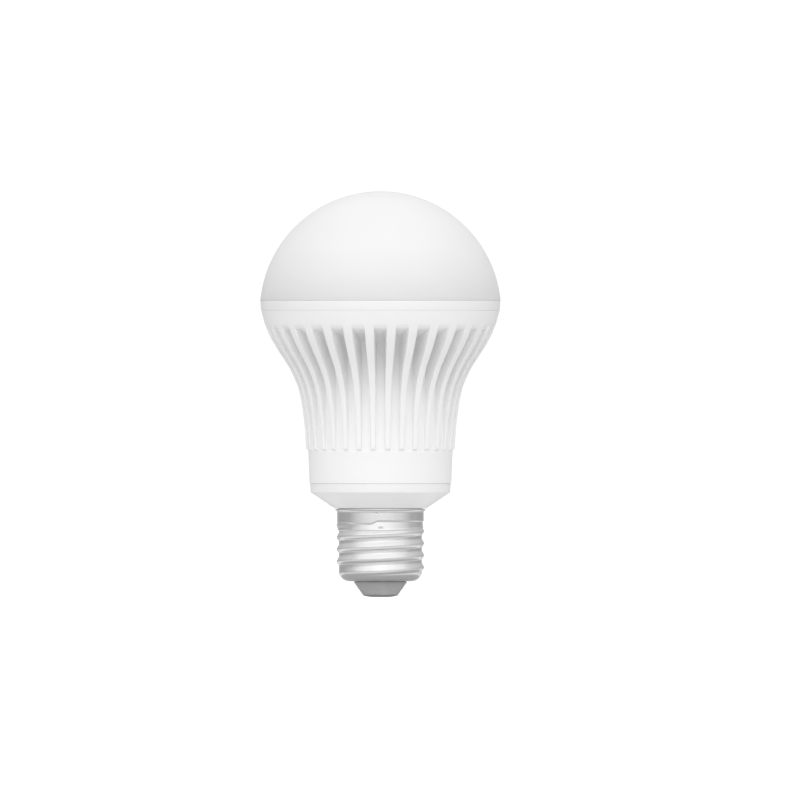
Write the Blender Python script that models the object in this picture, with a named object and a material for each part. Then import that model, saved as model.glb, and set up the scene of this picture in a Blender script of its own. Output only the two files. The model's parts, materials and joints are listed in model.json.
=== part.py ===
"""Smart light bulb with a screw base, as an assembly of separate pieces.

Metres, +Z up. The origin is the tip of the centre contact, on the lamp's axis.
The globe points along +Z and the front of the lamp faces -Y. Lengths in the
constants below are in millimetres and are turned into metres as meshes are made.
"""

import math

import bmesh
import bpy
from mathutils import Vector

for old in list(bpy.data.objects):
    bpy.data.objects.remove(old, do_unlink=True)

MM = 0.001
GAP = 0.3  # clearance between neighbouring pieces

# ---- globe and the ring that holds it
GLOBE_R = 36.3
GLOBE_CENTRE_Z = 85.7
GLOBE_WALL = 1.5
GLOBE_EDGE_Z = 89.15
SPIGOT_R = 34.0
SPIGOT_WALL = 1.1
SPIGOT_Z = 86.3
RING_Z = (86.2, 88.85)
RING_R = (35.86, 36.08)
RING_BORE_R = 34.35
SEAL_Z = (85.2, 86.0)
ROUND = 48  # sides of a large turned piece

# ---- heat sink: collar, core, fins and skirt in one casting
FINS = 32
FIN_Z = (44.2, 80.7)
FIN_THICK_LOW = 1.42
FIN_THICK_RISE = 1.10
FIN_THICK_SPAN = 31.0
FIN_THICK_POWER = 1.6
FIN_ROOT_FILLET = 0.35
FIN_LEVELS = (44.2, 50.5, 56.5, 61.5, 66.5, 71.0, 75.0, 77.3, 79.0, 80.0, 80.7)
# height and radius of the fins' outer edge, up to the collar's rim
EDGE_KNOTS = (
    (43.0, 22.36), (50.0, 22.76), (56.1, 23.43), (62.1, 24.57), (68.1, 27.02),
    (74.1, 30.80), (78.6, 33.38), (80.7, 34.26), (83.1, 35.04), (85.9, 35.78),
)
# height and radius of the floor between two fins, which curls out under the collar
FLOOR_KNOTS = (
    (43.0, 21.88), (60.0, 22.30), (72.0, 22.95), (75.6, 23.45), (77.2, 24.6),
    (78.4, 26.5), (79.4, 29.2), (80.1, 32.0), (80.7, 34.26),
)
SKIRT_Z = 34.6
SKIRT_R = (21.43, 21.72)
BORE_R = 19.6
BORE_TOP_Z = 80.2
PLATFORM_Z = 84.0
PLATFORM_R = 32.3
SEAL_SEAT_Z = 84.9
SEAL_SEAT_R = 34.3
COLLAR_TOP_Z = 85.9

# ---- base housing: band, cone and the neck inside the screw shell
SOCKET_R = 17.9
SOCKET_PLUG_R = 19.25
SOCKET_TOP_Z = 40.3
SHOULDER_Z = 34.3
GROOVE_R = 20.5
BAND_Z = (31.45, 33.8)
BAND_R = (20.95, 21.1)
LEDGE_Z = 26.65
LEDGE_R = 14.0
NECK_R = 11.7
NECK_BORE_R = 10.3
NECK_Z = 9.0

# ---- screw shell, 26 mm Edison thread with 7 turns to the inch, right-handed
THREAD_PITCH = 3.629
THREAD_CREST_R = 13.12
THREAD_DEPTH = 0.67
THREAD_CREST_Z = 8.885  # a crest on the +X side
THREAD_TURNS = 3.0  # full-depth turns above that side's second root
THREAD_FADE_TURNS = 0.5
BARREL_R = 12.96
LIP_R = 13.5
SHELL_TOP_Z = 26.3
SHELL_SEAT_Z = 4.75
SHELL_WALL = 0.4
SHELL_EYE_R = 8.15
SHELL_SIDES = 36
SHELL_STEP = 0.605

# ---- insulator and centre contact
INSULATOR_Z = (0.85, 6.9)
CONTACT_R = 5.3
CONTACT_LAND_R = 2.2
CONTACT_THICK = 0.55
RIVET_R = 0.9
RIVET_TOP_Z = 3.6

# ---- light engine
PAD_Z = (84.3, 84.9)
PAD_R = 30.0
LED_BOARD_Z = (85.2, 86.8)
LED_BOARD_R = 31.0
LED_COUNT = 12
LED_RING_R = 26.0
LED_SIZE = (3.5, 2.8, 0.9)
SCREW_RING_R = 23.0
SCREW_ANGLES = (90.0, 210.0, 330.0)
SCREW_HOLE_R = 1.75
SCREW_SHANK_R = 1.4
SCREW_HOLE_Z = 79.6
WIRE_SLOT = (11.0, 3.0, 3.6, 7.2)  # centre x, centre y, length x, length y
RADIO_SLOT = (0.0, 0.0, 13.2, 2.2)

# ---- driver in the core
SLEEVE_R = (18.3, 19.25)
SLEEVE_Z = (40.6, 79.6)
DRIVER_BOARD = (0.0, 3.0, 58.0, 31.0, 1.6, 40.0)  # centre and size
WIRE_R = 0.6


# ------------------------------------------------------------------ helpers
def material(name, colour, roughness, metallic=0.0):
    made = bpy.data.materials.new(name)
    made.use_nodes = True
    shader = made.node_tree.nodes["Principled BSDF"]
    shader.inputs["Base Color"].default_value = (*colour, 1.0)
    shader.inputs["Roughness"].default_value = roughness
    shader.inputs["Metallic"].default_value = metallic
    return made


def add_mesh(name, bm, look, sharp=32.0):
    """An object from a bmesh in millimetres, with outward faces, shaded smooth up to an angle."""
    bmesh.ops.recalc_face_normals(bm, faces=bm.faces)
    bmesh.ops.scale(bm, vec=(MM, MM, MM), verts=bm.verts)
    mesh = bpy.data.meshes.new(name)
    bm.to_mesh(mesh)
    bm.free()
    mesh.shade_smooth()
    mesh.set_sharp_from_angle(angle=math.radians(sharp))
    mesh.materials.append(look)
    made = bpy.data.objects.new(name, mesh)
    bpy.context.scene.collection.objects.link(made)
    return made


def loft(rings, closed_up=False):
    """Quads between rings of points with the same count. A ring of one point is a pole.

    closed_up joins the last ring to the first, as on a ring-shaped piece.
    Otherwise a ring left at either end is capped with one face.
    """
    bm = bmesh.new()
    made = [[bm.verts.new(point) for point in ring] for ring in rings]
    pairs = list(zip(made, made[1:]))
    if closed_up:
        pairs.append((made[-1], made[0]))
    for low, high in pairs:
        count = max(len(low), len(high))
        for i in range(count):
            j = (i + 1) % count
            if len(low) == 1:
                bm.faces.new((low[0], high[j], high[i]))
            elif len(high) == 1:
                bm.faces.new((low[i], low[j], high[0]))
            else:
                bm.faces.new((low[i], low[j], high[j], high[i]))
    if not closed_up:
        for end in (made[0], made[-1]):
            if len(end) > 1:
                bm.faces.new(end)
    return bm


def circle(radius, z, sides, x=0.0, y=0.0):
    if radius <= 0:
        return [(x, y, z)]
    return [
        (
            x + radius * math.cos(2 * math.pi * i / sides),
            y + radius * math.sin(2 * math.pi * i / sides),
            z,
        )
        for i in range(sides)
    ]


def turned(name, profile, look, sides=ROUND, ring=False, x=0.0, y=0.0):
    """A turned piece from (radius, height) points, about a vertical axis at x, y."""
    rings = [circle(r, z, sides, x, y) for r, z in profile]
    return add_mesh(name, loft(rings, closed_up=ring), look)


def box(name, centre, size, look, bevel=0.0, spin=0.0):
    """A box with its edges bevelled, turned by spin degrees about a vertical axis."""
    bm = bmesh.new()
    bmesh.ops.create_cube(bm, size=1.0)
    bmesh.ops.scale(bm, vec=size, verts=bm.verts)
    made = add_mesh(name, bm, look)
    made.location = Vector(centre) * MM
    made.rotation_euler.z = math.radians(spin)
    if bevel:
        edge = made.modifiers.new("edge", "BEVEL")
        edge.width = bevel * MM
        edge.segments = 1
    return made


def cutter(name, bm):
    made = add_mesh(name, bm, METAL_BRIGHT)
    made.hide_render = True
    made.display_type = "WIRE"
    return made


def cut(target, tool):
    boolean = target.modifiers.new(tool.name, "BOOLEAN")
    boolean.operation = "DIFFERENCE"
    boolean.solver = "EXACT"
    boolean.object = tool


def knots_at(knots, z):
    """Smooth curve through (height, radius) knots, with no overshoot between them."""
    if z <= knots[0][0]:
        return knots[0][1]
    if z >= knots[-1][0]:
        return knots[-1][1]
    slopes = [
        (b[1] - a[1]) / (b[0] - a[0]) for a, b in zip(knots, knots[1:])
    ]
    ends = [slopes[0]]
    for before, after in zip(slopes, slopes[1:]):
        ends.append(
            0.0 if before * after <= 0 else 2 * before * after / (before + after)
        )
    ends.append(slopes[-1])
    for i, (a, b) in enumerate(zip(knots, knots[1:])):
        if z <= b[0]:
            span = b[0] - a[0]
            t = (z - a[0]) / span
            return (
                (2 * t**3 - 3 * t**2 + 1) * a[1]
                + (t**3 - 2 * t**2 + t) * span * ends[i]
                + (3 * t**2 - 2 * t**3) * b[1]
                + (t**3 - t**2) * span * ends[i + 1]
            )
    return knots[-1][1]


def ease(t):
    t = min(1.0, max(0.0, t))
    return t * t * (3 - 2 * t)


def smooth_path(points, per_span=3):
    """Points along a smooth curve through the given ones."""
    ends = [points[0]] + list(points) + [points[-1]]
    found = []
    for i in range(1, len(ends) - 2):
        p0, p1, p2, p3 = (Vector(ends[i + k]) for k in (-1, 0, 1, 2))
        for s in range(per_span):
            t = s / per_span
            found.append(
                0.5
                * (
                    2 * p1
                    + (p2 - p0) * t
                    + (2 * p0 - 5 * p1 + 4 * p2 - p3) * t**2
                    + (3 * p1 - 3 * p2 + p3 - p0) * t**3
                )
            )
    found.append(Vector(points[-1]))
    return found


def wire(name, points, look, radius=WIRE_R):
    data = bpy.data.curves.new(name, "CURVE")
    data.dimensions = "3D"
    data.bevel_depth = radius * MM
    data.bevel_resolution = 2
    data.use_fill_caps = True
    path = smooth_path(points)
    spline = data.splines.new("POLY")
    spline.points.add(len(path) - 1)
    for slot, point in zip(spline.points, path):
        slot.co = (*(point * MM), 1.0)
    data.materials.append(look)
    made = bpy.data.objects.new(name, data)
    bpy.context.scene.collection.objects.link(made)
    return made


# ---------------------------------------------------------------- materials
OPAL = material("opal_plastic", (0.86, 0.86, 0.86), 0.42)
WHITE_PAINT = material("white_paint", (0.80, 0.80, 0.80), 0.38)
WHITE_PLASTIC = material("white_plastic", (0.78, 0.78, 0.78), 0.35)
NICKEL = material("nickel_plate", (0.66, 0.66, 0.67), 0.28, 1.0)
GREY_PLASTIC = material("grey_plastic", (0.34, 0.34, 0.35), 0.5)
METAL_BRIGHT = material("contact_metal", (0.60, 0.60, 0.61), 0.30, 1.0)
SILICONE = material("silicone", (0.75, 0.75, 0.73), 0.6)
BOARD_WHITE = material("board_white", (0.82, 0.83, 0.82), 0.45)
BOARD_GREEN = material("board_green", (0.03, 0.20, 0.08), 0.45)
PHOSPHOR = material("led_phosphor", (0.80, 0.62, 0.12), 0.5)
PAD_GREY = material("thermal_pad", (0.42, 0.45, 0.50), 0.8)
STEEL = material("screw_steel", (0.55, 0.55, 0.55), 0.35, 1.0)
CREAM = material("cream_plastic", (0.80, 0.76, 0.66), 0.4)
SLEEVE = material("sleeve_plastic", (0.70, 0.70, 0.68), 0.55)
FERRITE = material("ferrite", (0.05, 0.05, 0.055), 0.65)
TAPE = material("winding_tape", (0.75, 0.55, 0.08), 0.4)
CAN_SLEEVE = material("capacitor_sleeve", (0.02, 0.03, 0.08), 0.3)
FILM = material("film_capacitor", (0.60, 0.30, 0.05), 0.35)
BLACK = material("black_epoxy", (0.02, 0.02, 0.02), 0.45)
RESISTOR = material("resistor_body", (0.15, 0.30, 0.25), 0.5)
TIN = material("tin_plate", (0.62, 0.62, 0.60), 0.35, 1.0)
COPPER = material("copper", (0.72, 0.35, 0.18), 0.3, 1.0)
RED_WIRE = material("wire_red", (0.55, 0.03, 0.03), 0.45)
BLACK_WIRE = material("wire_black", (0.03, 0.03, 0.03), 0.45)
WHITE_WIRE = material("wire_white", (0.80, 0.80, 0.78), 0.45)


# ------------------------------------------------------- globe, ring and seal
def globe_profile():
    edge = math.asin((GLOBE_EDGE_Z - GLOBE_CENTRE_Z) / GLOBE_R)
    outer = []
    steps = 9
    for i in range(steps + 1):
        a = math.pi / 2 + (edge - math.pi / 2) * i / steps
        outer.append((GLOBE_R * math.cos(a), GLOBE_CENTRE_Z + GLOBE_R * math.sin(a)))
    outer[0] = (0.0, outer[0][1])
    spigot = [
        (SPIGOT_R, GLOBE_EDGE_Z),
        (SPIGOT_R, SPIGOT_Z),
        (SPIGOT_R - SPIGOT_WALL, SPIGOT_Z),
        (SPIGOT_R - SPIGOT_WALL, GLOBE_EDGE_Z + 0.4),
    ]
    inner_r = GLOBE_R - GLOBE_WALL
    inner = []
    steps = 6
    start = math.radians(8.5)
    for i in range(steps + 1):
        a = start + (math.pi / 2 - start) * i / steps
        inner.append((inner_r * math.cos(a), GLOBE_CENTRE_Z + inner_r * math.sin(a)))
    inner[-1] = (0.0, inner[-1][1])
    return outer + spigot + inner


turned("globe_diffuser", globe_profile(), OPAL)
turned(
    "diffuser_ring",
    [
        (RING_R[0], RING_Z[0]),
        ((RING_R[0] + RING_R[1]) / 2 + 0.03, (RING_Z[0] + RING_Z[1]) / 2),
        (RING_R[1], RING_Z[1]),
        (RING_BORE_R, RING_Z[1]),
        (RING_BORE_R, RING_Z[0]),
    ],
    WHITE_PLASTIC,
    ring=True,
)
turned(
    "diffuser_seal",
    [
        (SPIGOT_R - 1.3, SEAL_Z[0]),
        (SPIGOT_R, SEAL_Z[0]),
        (SPIGOT_R, SEAL_Z[1]),
        (SPIGOT_R - 1.3, SEAL_Z[1]),
    ],
    SILICONE,
    ring=True,
)


# ------------------------------------------------------------------ heat sink
def fin_thickness(z):
    share = max(0.0, (z - FIN_Z[0] - 0.8) / FIN_THICK_SPAN)
    return FIN_THICK_LOW + FIN_THICK_RISE * share**FIN_THICK_POWER


def finned_ring(z, tip_r, floor_r, thick_z):
    """Four points for each fin: floor, tip, tip, floor. Fin sides are parallel."""
    half = fin_thickness(thick_z) / 2
    root = half + FIN_ROOT_FILLET
    points = []
    for k in range(FINS):
        # a gap, not a fin, faces the front
        a = 2 * math.pi * (k + 0.5) / FINS - math.pi / 2
        along = Vector((math.cos(a), math.sin(a)))
        across = Vector((-math.sin(a), math.cos(a)))
        for side, radius in ((-root, floor_r), (-half, tip_r), (half, tip_r), (root, floor_r)):
            flat = along * math.sqrt(radius**2 - side**2) + across * side
            points.append((flat.x, flat.y, z))
    return points


def heat_sink_rings():
    low = FIN_Z[0]
    rings = [
        finned_ring(SKIRT_Z, SKIRT_R[0] - 0.2, SKIRT_R[0] - 0.2, low),
        finned_ring(SKIRT_Z + 0.25, SKIRT_R[0], SKIRT_R[0], low),
        finned_ring(low - 0.06, SKIRT_R[1], SKIRT_R[1], low),
    ]
    for z in FIN_LEVELS:
        rings.append(finned_ring(z, knots_at(EDGE_KNOTS, z), knots_at(FLOOR_KNOTS, z), z))
    for z in (83.1, COLLAR_TOP_Z - 0.15):
        r = knots_at(EDGE_KNOTS, z)
        rings.append(finned_ring(z, r, r, FIN_Z[1]))
    r = knots_at(EDGE_KNOTS, COLLAR_TOP_Z) - 0.15
    rings.append(finned_ring(COLLAR_TOP_Z, r, r, FIN_Z[1]))
    return rings


def join_shapes(*shapes):
    """One bmesh from several closed shapes that don't meet."""
    whole = shapes[0]
    for shape in shapes[1:]:
        spare = bpy.data.meshes.new("spare")
        shape.to_mesh(spare)
        shape.free()
        whole.from_mesh(spare)
        bpy.data.meshes.remove(spare)
    return whole


def slot_shape(slot, low, high):
    x, y, length, width = slot
    rings = [
        [
            (x + sx * length / 2, y + sy * width / 2, z)
            for sx, sy in ((-1, -1), (1, -1), (1, 1), (-1, 1))
        ]
        for z in (low, high)
    ]
    return loft(rings)


def screw_places():
    for degrees in SCREW_ANGLES:
        a = math.radians(degrees)
        yield SCREW_RING_R * math.cos(a), SCREW_RING_R * math.sin(a)


heat_sink = add_mesh("heat_sink", loft(heat_sink_rings()), WHITE_PAINT)
bore_cutter = cutter(
    "bore_cutter",
    loft([circle(BORE_R, z, 40) for z in (SKIRT_Z - 2, BORE_TOP_Z)]),
)
recess_cutter = cutter(
    "recess_cutter",
    loft(
        [
            circle(r, z, ROUND)
            for r, z in (
                (PLATFORM_R, PLATFORM_Z),
                (PLATFORM_R, SEAL_SEAT_Z),
                (SEAL_SEAT_R, SEAL_SEAT_Z),
                (SEAL_SEAT_R, COLLAR_TOP_Z + 2),
            )
        ]
    ),
)
platform_cutter = cutter(
    "platform_cutter",
    join_shapes(
        slot_shape(WIRE_SLOT, 78.0, 92.0),
        slot_shape(RADIO_SLOT, 78.0, 92.0),
        *[
            loft([circle(SCREW_HOLE_R, z, 16, x, y) for z in (SCREW_HOLE_Z, 92.0)])
            for x, y in screw_places()
        ],
    ),
)
for tool in (bore_cutter, recess_cutter, platform_cutter):
    cut(heat_sink, tool)

# ---------------------------------------------------------------- light engine
thermal_pad = turned(
    "thermal_pad", [(0, PAD_Z[0]), (PAD_R, PAD_Z[0]), (PAD_R, PAD_Z[1]), (0, PAD_Z[1])], PAD_GREY
)
led_board = turned(
    "led_board",
    [
        (0, LED_BOARD_Z[0]),
        (LED_BOARD_R, LED_BOARD_Z[0]),
        (LED_BOARD_R, LED_BOARD_Z[1]),
        (0, LED_BOARD_Z[1]),
    ],
    BOARD_WHITE,
)
for layer in (thermal_pad, led_board):
    cut(layer, platform_cutter)

for n in range(LED_COUNT):
    degrees = 15.0 + 360.0 * n / LED_COUNT
    a = math.radians(degrees)
    box(
        f"led_{n + 1:02d}",
        (
            LED_RING_R * math.cos(a),
            LED_RING_R * math.sin(a),
            LED_BOARD_Z[1] + GAP + LED_SIZE[2] / 2,
        ),
        LED_SIZE,
        PHOSPHOR,
        bevel=0.2,
        spin=degrees,
    )

for n, (x, y) in enumerate(screw_places()):
    seat = LED_BOARD_Z[1] + GAP
    turned(
        f"led_board_screw_{n + 1}",
        [
            (0, SCREW_HOLE_Z + 0.6),
            (SCREW_SHANK_R, SCREW_HOLE_Z + 0.9),
            (SCREW_SHANK_R, seat),
            (2.75, seat),
            (2.75, seat + 1.2),
            (1.9, seat + 1.9),
            (0.9, seat + 2.0),
            (0.9, seat + 1.0),
            (0, seat + 1.0),
        ],
        STEEL,
        sides=16,
        x=x,
        y=y,
    )

connector_z = LED_BOARD_Z[1] + GAP
box("led_connector", (17.2, 3.0, connector_z + 1.8), (5.0, 8.0, 3.6), CREAM, bevel=0.4)

# -------------------------------------------------------------- base housing
turned(
    "base_housing",
    [
        (SOCKET_R, SOCKET_TOP_Z),
        (SOCKET_PLUG_R, SOCKET_TOP_Z),
        (SOCKET_PLUG_R, SHOULDER_Z),
        (GROOVE_R, SHOULDER_Z),
        (GROOVE_R, BAND_Z[1] + 0.05),
        (BAND_R[1] - 0.2, BAND_Z[1]),
        (BAND_R[1], BAND_Z[1] - 0.2),
        (BAND_R[0], BAND_Z[0] + 0.2),
        (BAND_R[0] - 0.2, BAND_Z[0] - 0.05),
        (LEDGE_R, LEDGE_Z + 0.1),
        (LEDGE_R - 0.1, LEDGE_Z),
        (NECK_R, LEDGE_Z),
        (NECK_R, NECK_Z),
        (NECK_BORE_R, NECK_Z),
        (NECK_BORE_R, LEDGE_Z + 1.4),
        (SOCKET_R, BAND_Z[1] - 0.4),
    ],
    WHITE_PLASTIC,
    ring=True,
)


# --------------------------------------------------------------- screw shell
def shell_radius(angle, z):
    """Outer radius of the rolled barrel. The thread is a round groove along a helix."""
    turn = angle / (2 * math.pi)
    crest_z = THREAD_CREST_Z + THREAD_PITCH * turn
    wave = 0.5 - 0.5 * math.cos(2 * math.pi * (z - crest_z) / THREAD_PITCH)
    root_z = crest_z + THREAD_PITCH / 2
    turns = turn + round((z - root_z) / THREAD_PITCH)
    depth = THREAD_DEPTH * (1 - ease((turns - THREAD_TURNS) / THREAD_FADE_TURNS))
    blend = ease((z - 21.0) / 2.2)
    crest = THREAD_CREST_R + (BARREL_R - THREAD_CREST_R) * blend
    radius = crest - depth * wave
    curl = 12.62 - 0.42 * math.exp(-(z - 7.0) / 0.55) if z > 6.4 else 12.62
    return min(radius, max(curl, 11.9) + max(0.0, z - 7.6) * 0.9)


def shell_rings():
    angles = [2 * math.pi * i / SHELL_SIDES for i in range(SHELL_SIDES)]

    def ring(z, radius=None):
        return [
            (
                (radius or shell_radius(a, z)) * math.cos(a),
                (radius or shell_radius(a, z)) * math.sin(a),
                z,
            )
            for a in angles
        ]

    rings = [
        ring(SHELL_SEAT_Z, SHELL_EYE_R),
        ring(SHELL_SEAT_Z, 9.7),
        ring(SHELL_SEAT_Z + 0.25, 10.55),
        ring(5.5, 11.2),
        ring(6.2, 11.85),
        ring(6.9, 12.2),
    ]
    count = round((23.3 - 7.5) / SHELL_STEP)
    rings += [ring(7.5 + (23.3 - 7.5) * i / count) for i in range(count + 1)]
    rings += [
        ring(25.6, BARREL_R),
        ring(25.9, LIP_R - 0.1),
        ring(26.1, LIP_R),
        ring(SHELL_TOP_Z, LIP_R - 0.05),
        ring(SHELL_TOP_Z, LIP_R - 0.65),
        ring(25.6, BARREL_R - SHELL_WALL),
        ring(23.0, BARREL_R - SHELL_WALL),
        ring(22.4, THREAD_CREST_R - THREAD_DEPTH - SHELL_WALL),
        ring(7.6, THREAD_CREST_R - THREAD_DEPTH - SHELL_WALL),
        ring(6.6, 11.5),
        ring(5.6, 10.7),
        ring(SHELL_SEAT_Z + SHELL_WALL, 9.8),
        ring(SHELL_SEAT_Z + SHELL_WALL, SHELL_EYE_R),
    ]
    return rings


add_mesh("screw_shell", loft(shell_rings(), closed_up=True), NICKEL)

turned(
    "base_insulator",
    [
        (1.25, INSULATOR_Z[0]),
        (5.2, INSULATOR_Z[0]),
        (5.5, 1.05),
        (7.0, 3.2),
        (7.85, 4.65),
        (7.85, 5.6),
        (9.7, 5.6),
        (10.2, 6.2),
        (10.2, INSULATOR_Z[1]),
        (1.25, INSULATOR_Z[1]),
    ],
    GREY_PLASTIC,
    sides=28,
    ring=True,
)
turned(
    "centre_contact",
    [
        (0, 0),
        (CONTACT_LAND_R, 0),
        (4.0, 0.1),
        (4.95, 0.3),
        (CONTACT_R, CONTACT_THICK),
        (RIVET_R, CONTACT_THICK),
        (RIVET_R, RIVET_TOP_Z),
        (0, RIVET_TOP_Z),
    ],
    METAL_BRIGHT,
    sides=28,
)

# -------------------------------------------------------------------- driver
turned(
    "driver_sleeve",
    [
        (SLEEVE_R[0], SLEEVE_Z[0]),
        (SLEEVE_R[1], SLEEVE_Z[0]),
        (SLEEVE_R[1], SLEEVE_Z[1]),
        (SLEEVE_R[0], SLEEVE_Z[1]),
    ],
    SLEEVE,
    sides=40,
    ring=True,
)

bx, by, bz, bl, bt, bh = DRIVER_BOARD
box("driver_board", (bx, by, bz), (bl, bt, bh), BOARD_GREEN)
FRONT = by - bt / 2 - GAP  # where parts on the board's front start
BACK = by + bt / 2 + GAP


def transformer():
    depth, half_width, half_height = 7.0, 8.0, 7.0
    y = FRONT - 6.2
    core = box("transformer_core", (0, y, 58.0), (2 * half_width, depth, 2 * half_height), FERRITE)
    windows = join_shapes(
        *[
            loft(
                [
                    [(x0, y - 6, z), (x1, y - 6, z), (x1, y + 6, z), (x0, y + 6, z)]
                    for z in (58.0 - 4.6, 58.0 + 4.6)
                ]
            )
            for x0, x1 in ((-5.5, -2.25), (2.25, 5.5))
        ]
    )
    cut(core, cutter("core_window_cutter", windows))
    outer, inner = (5.2, 5.9), (2.55, 3.8)
    rings = []
    for (hx, hy), z in ((outer, -4.3), (outer, 4.3), (inner, 4.3), (inner, -4.3)):
        rings.append([(sx * hx, y + sy * hy, 58.0 + z) for sx, sy in ((-1, -1), (1, -1), (1, 1), (-1, 1))])
    add_mesh("transformer_winding", loft(rings, closed_up=True), TAPE)


transformer()


def can(name, x, y, low, high, radius, look):
    """An upright electrolytic capacitor, with the crimp near its foot."""
    turned(
        name,
        [
            (0, low),
            (radius - 0.3, low),
            (radius, low + 0.3),
            (radius, low + 1.2),
            (radius - 0.4, low + 1.7),
            (radius, low + 2.2),
            (radius, high - 0.3),
            (radius - 0.3, high),
            (0, high),
        ],
        look,
        sides=24,
        x=x,
        y=y,
    )


can("input_capacitor", 0.0, 0.0, 12.0, 28.0, 5.0, CAN_SLEEVE)
can("output_capacitor", -11.0, FRONT - 4.4, 66.5, 78.0, 4.0, CAN_SLEEVE)
box("film_capacitor", (-8.5, FRONT - 2.5, 45.0), (10.0, 5.0, 9.0), FILM, bevel=0.6)
turned(
    "inductor",
    [
        (0, 40.5),
        (4.2, 40.5),
        (4.2, 41.7),
        (3.6, 42.0),
        (3.6, 47.6),
        (4.2, 47.9),
        (4.2, 49.1),
        (0, 49.1),
    ],
    FERRITE,
    sides=20,
    x=8.5,
    y=FRONT - 4.5,
)
box("bridge_rectifier", (-8.0, BACK + 1.3, 45.0), (7.0, 2.6, 6.0), BLACK, bevel=0.3)
box("driver_ic", (0.0, BACK + 0.8, 60.0), (4.0, 1.6, 5.0), BLACK, bevel=0.3)
box("power_transistor", (8.5, BACK + 1.15, 68.0), (6.5, 2.3, 6.2), BLACK, bevel=0.4)


def fuse_resistor():
    """A wound resistor with domed ends, lying across the back of the board."""
    bm = loft(
        [
            [
                (x, BACK + 2.0 + r * math.cos(a), 52.0 + r * math.sin(a))
                for a in (2 * math.pi * i / 16 for i in range(16))
            ]
            if r
            else [(x, BACK + 2.0, 52.0)]
            for x, r in ((3.0, 0), (3.2, 1.2), (4.2, 1.9), (12.0, 1.9), (13.0, 1.2), (13.2, 0))
        ]
    )
    add_mesh("fuse_resistor", bm, RESISTOR)


fuse_resistor()

# --------------------------------------------------------------------- radio
RADIO_LOW, RADIO_HIGH = 72.0, 101.0
box("radio_board", (0, 0, (RADIO_LOW + RADIO_HIGH) / 2), (12.0, 1.0, RADIO_HIGH - RADIO_LOW), BOARD_GREEN)
box("radio_shield", (0, -0.5 - GAP - 0.9, 91.4), (9.6, 1.8, 7.6), TIN, bevel=0.3)
box("radio_header", (0, (0.5 + by - bt / 2) / 2, 74.2), (9.0, by - bt / 2 - 0.5 - 2 * GAP, 2.5), BLACK)


def antenna():
    """A printed meander on the end of the radio board, as one flat strip."""
    width, reach, rise, low = 0.7, 4.6, 1.3, 96.2
    centre = [(-reach, low), (reach, low), (reach, low + rise), (-reach, low + rise),
              (-reach, low + 2 * rise), (reach, low + 2 * rise)]
    left, right = [], []
    for i, (x, z) in enumerate(centre):
        before = Vector(centre[i]) - Vector(centre[i - 1]) if i else Vector(centre[1]) - Vector(centre[0])
        after = Vector(centre[i + 1]) - Vector(centre[i]) if i + 1 < len(centre) else before
        n0 = Vector((-before.y, before.x)).normalized()
        n1 = Vector((-after.y, after.x)).normalized()
        offset = (n0 + n1) * (width / 2 / max(0.5, (1 + n0.dot(n1)))) if i and i + 1 < len(centre) else n0 * (width / 2)
        left.append((x + offset.x, z + offset.y))
        right.append((x - offset.x, z - offset.y))
    outline = left + right[::-1]
    y = -0.5 - GAP
    add_mesh("radio_antenna", loft([[(x, y - t, z) for x, z in outline] for t in (0.0, 0.25)]), COPPER)


antenna()

# --------------------------------------------------------------------- wires
plug_x = 17.2 - 2.5 - GAP
for name, y, board_y, look in (
    ("led_wire_pos", 1.0, FRONT - WIRE_R, RED_WIRE),
    ("led_wire_neg", 5.0, BACK + WIRE_R, BLACK_WIRE),
):
    wire(
        name,
        [
            (11.0, board_y, 74.5),
            (11.0, board_y, 78.5),
            (11.0, y, 83.0),
            (11.1, y, 87.2),
            (12.2, y, 88.9),
            (plug_x, y, 89.2),
        ],
        look,
    )
wire(
    "live_wire",
    [
        (0, 0, RIVET_TOP_Z + GAP),
        (0, 0, 7.4),
        (2.6, 0, 9.4),
        (6.6, 0, 10.3),
        (7.8, 0, 14.0),
        (7.8, 0, 22.0),
        (7.8, 0, 29.0),
        (7.0, FRONT - WIRE_R, 35.0),
        (6.4, FRONT - WIRE_R, 39.6),
    ],
    WHITE_WIRE,
)
wire(
    "neutral_wire",
    [
        (-11.0, 0, 8.0),
        (-9.4, 0, 8.4),
        (-8.3, 0, 11.0),
        (-7.8, 0, 16.0),
        (-7.8, 0, 22.0),
        (-7.8, 0, 29.0),
        (-6.6, BACK + WIRE_R, 35.0),
        (-6.0, BACK + WIRE_R, 40.6),
    ],
    BLACK_WIRE,
)
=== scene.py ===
import json
import math

import bpy
import bmesh
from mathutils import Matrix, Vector


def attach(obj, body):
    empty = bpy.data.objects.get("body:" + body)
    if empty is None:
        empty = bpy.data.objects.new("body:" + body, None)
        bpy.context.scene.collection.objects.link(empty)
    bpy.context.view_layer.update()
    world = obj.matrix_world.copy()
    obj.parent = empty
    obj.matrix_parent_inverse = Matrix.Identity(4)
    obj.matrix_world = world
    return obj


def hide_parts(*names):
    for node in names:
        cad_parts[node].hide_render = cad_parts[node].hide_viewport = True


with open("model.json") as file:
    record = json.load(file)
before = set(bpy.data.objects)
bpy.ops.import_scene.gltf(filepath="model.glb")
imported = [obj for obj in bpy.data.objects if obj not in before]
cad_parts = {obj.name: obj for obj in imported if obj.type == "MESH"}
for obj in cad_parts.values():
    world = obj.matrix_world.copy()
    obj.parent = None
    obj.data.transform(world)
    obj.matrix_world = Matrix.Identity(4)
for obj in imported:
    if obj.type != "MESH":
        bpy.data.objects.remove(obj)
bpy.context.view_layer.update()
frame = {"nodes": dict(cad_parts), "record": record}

MM = 0.001
FRONT = -math.pi / 2


# ================================================================ mesh helpers
def ease(t):
    t = min(1.0, max(0.0, t))
    return t * t * (3 - 2 * t)


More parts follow.
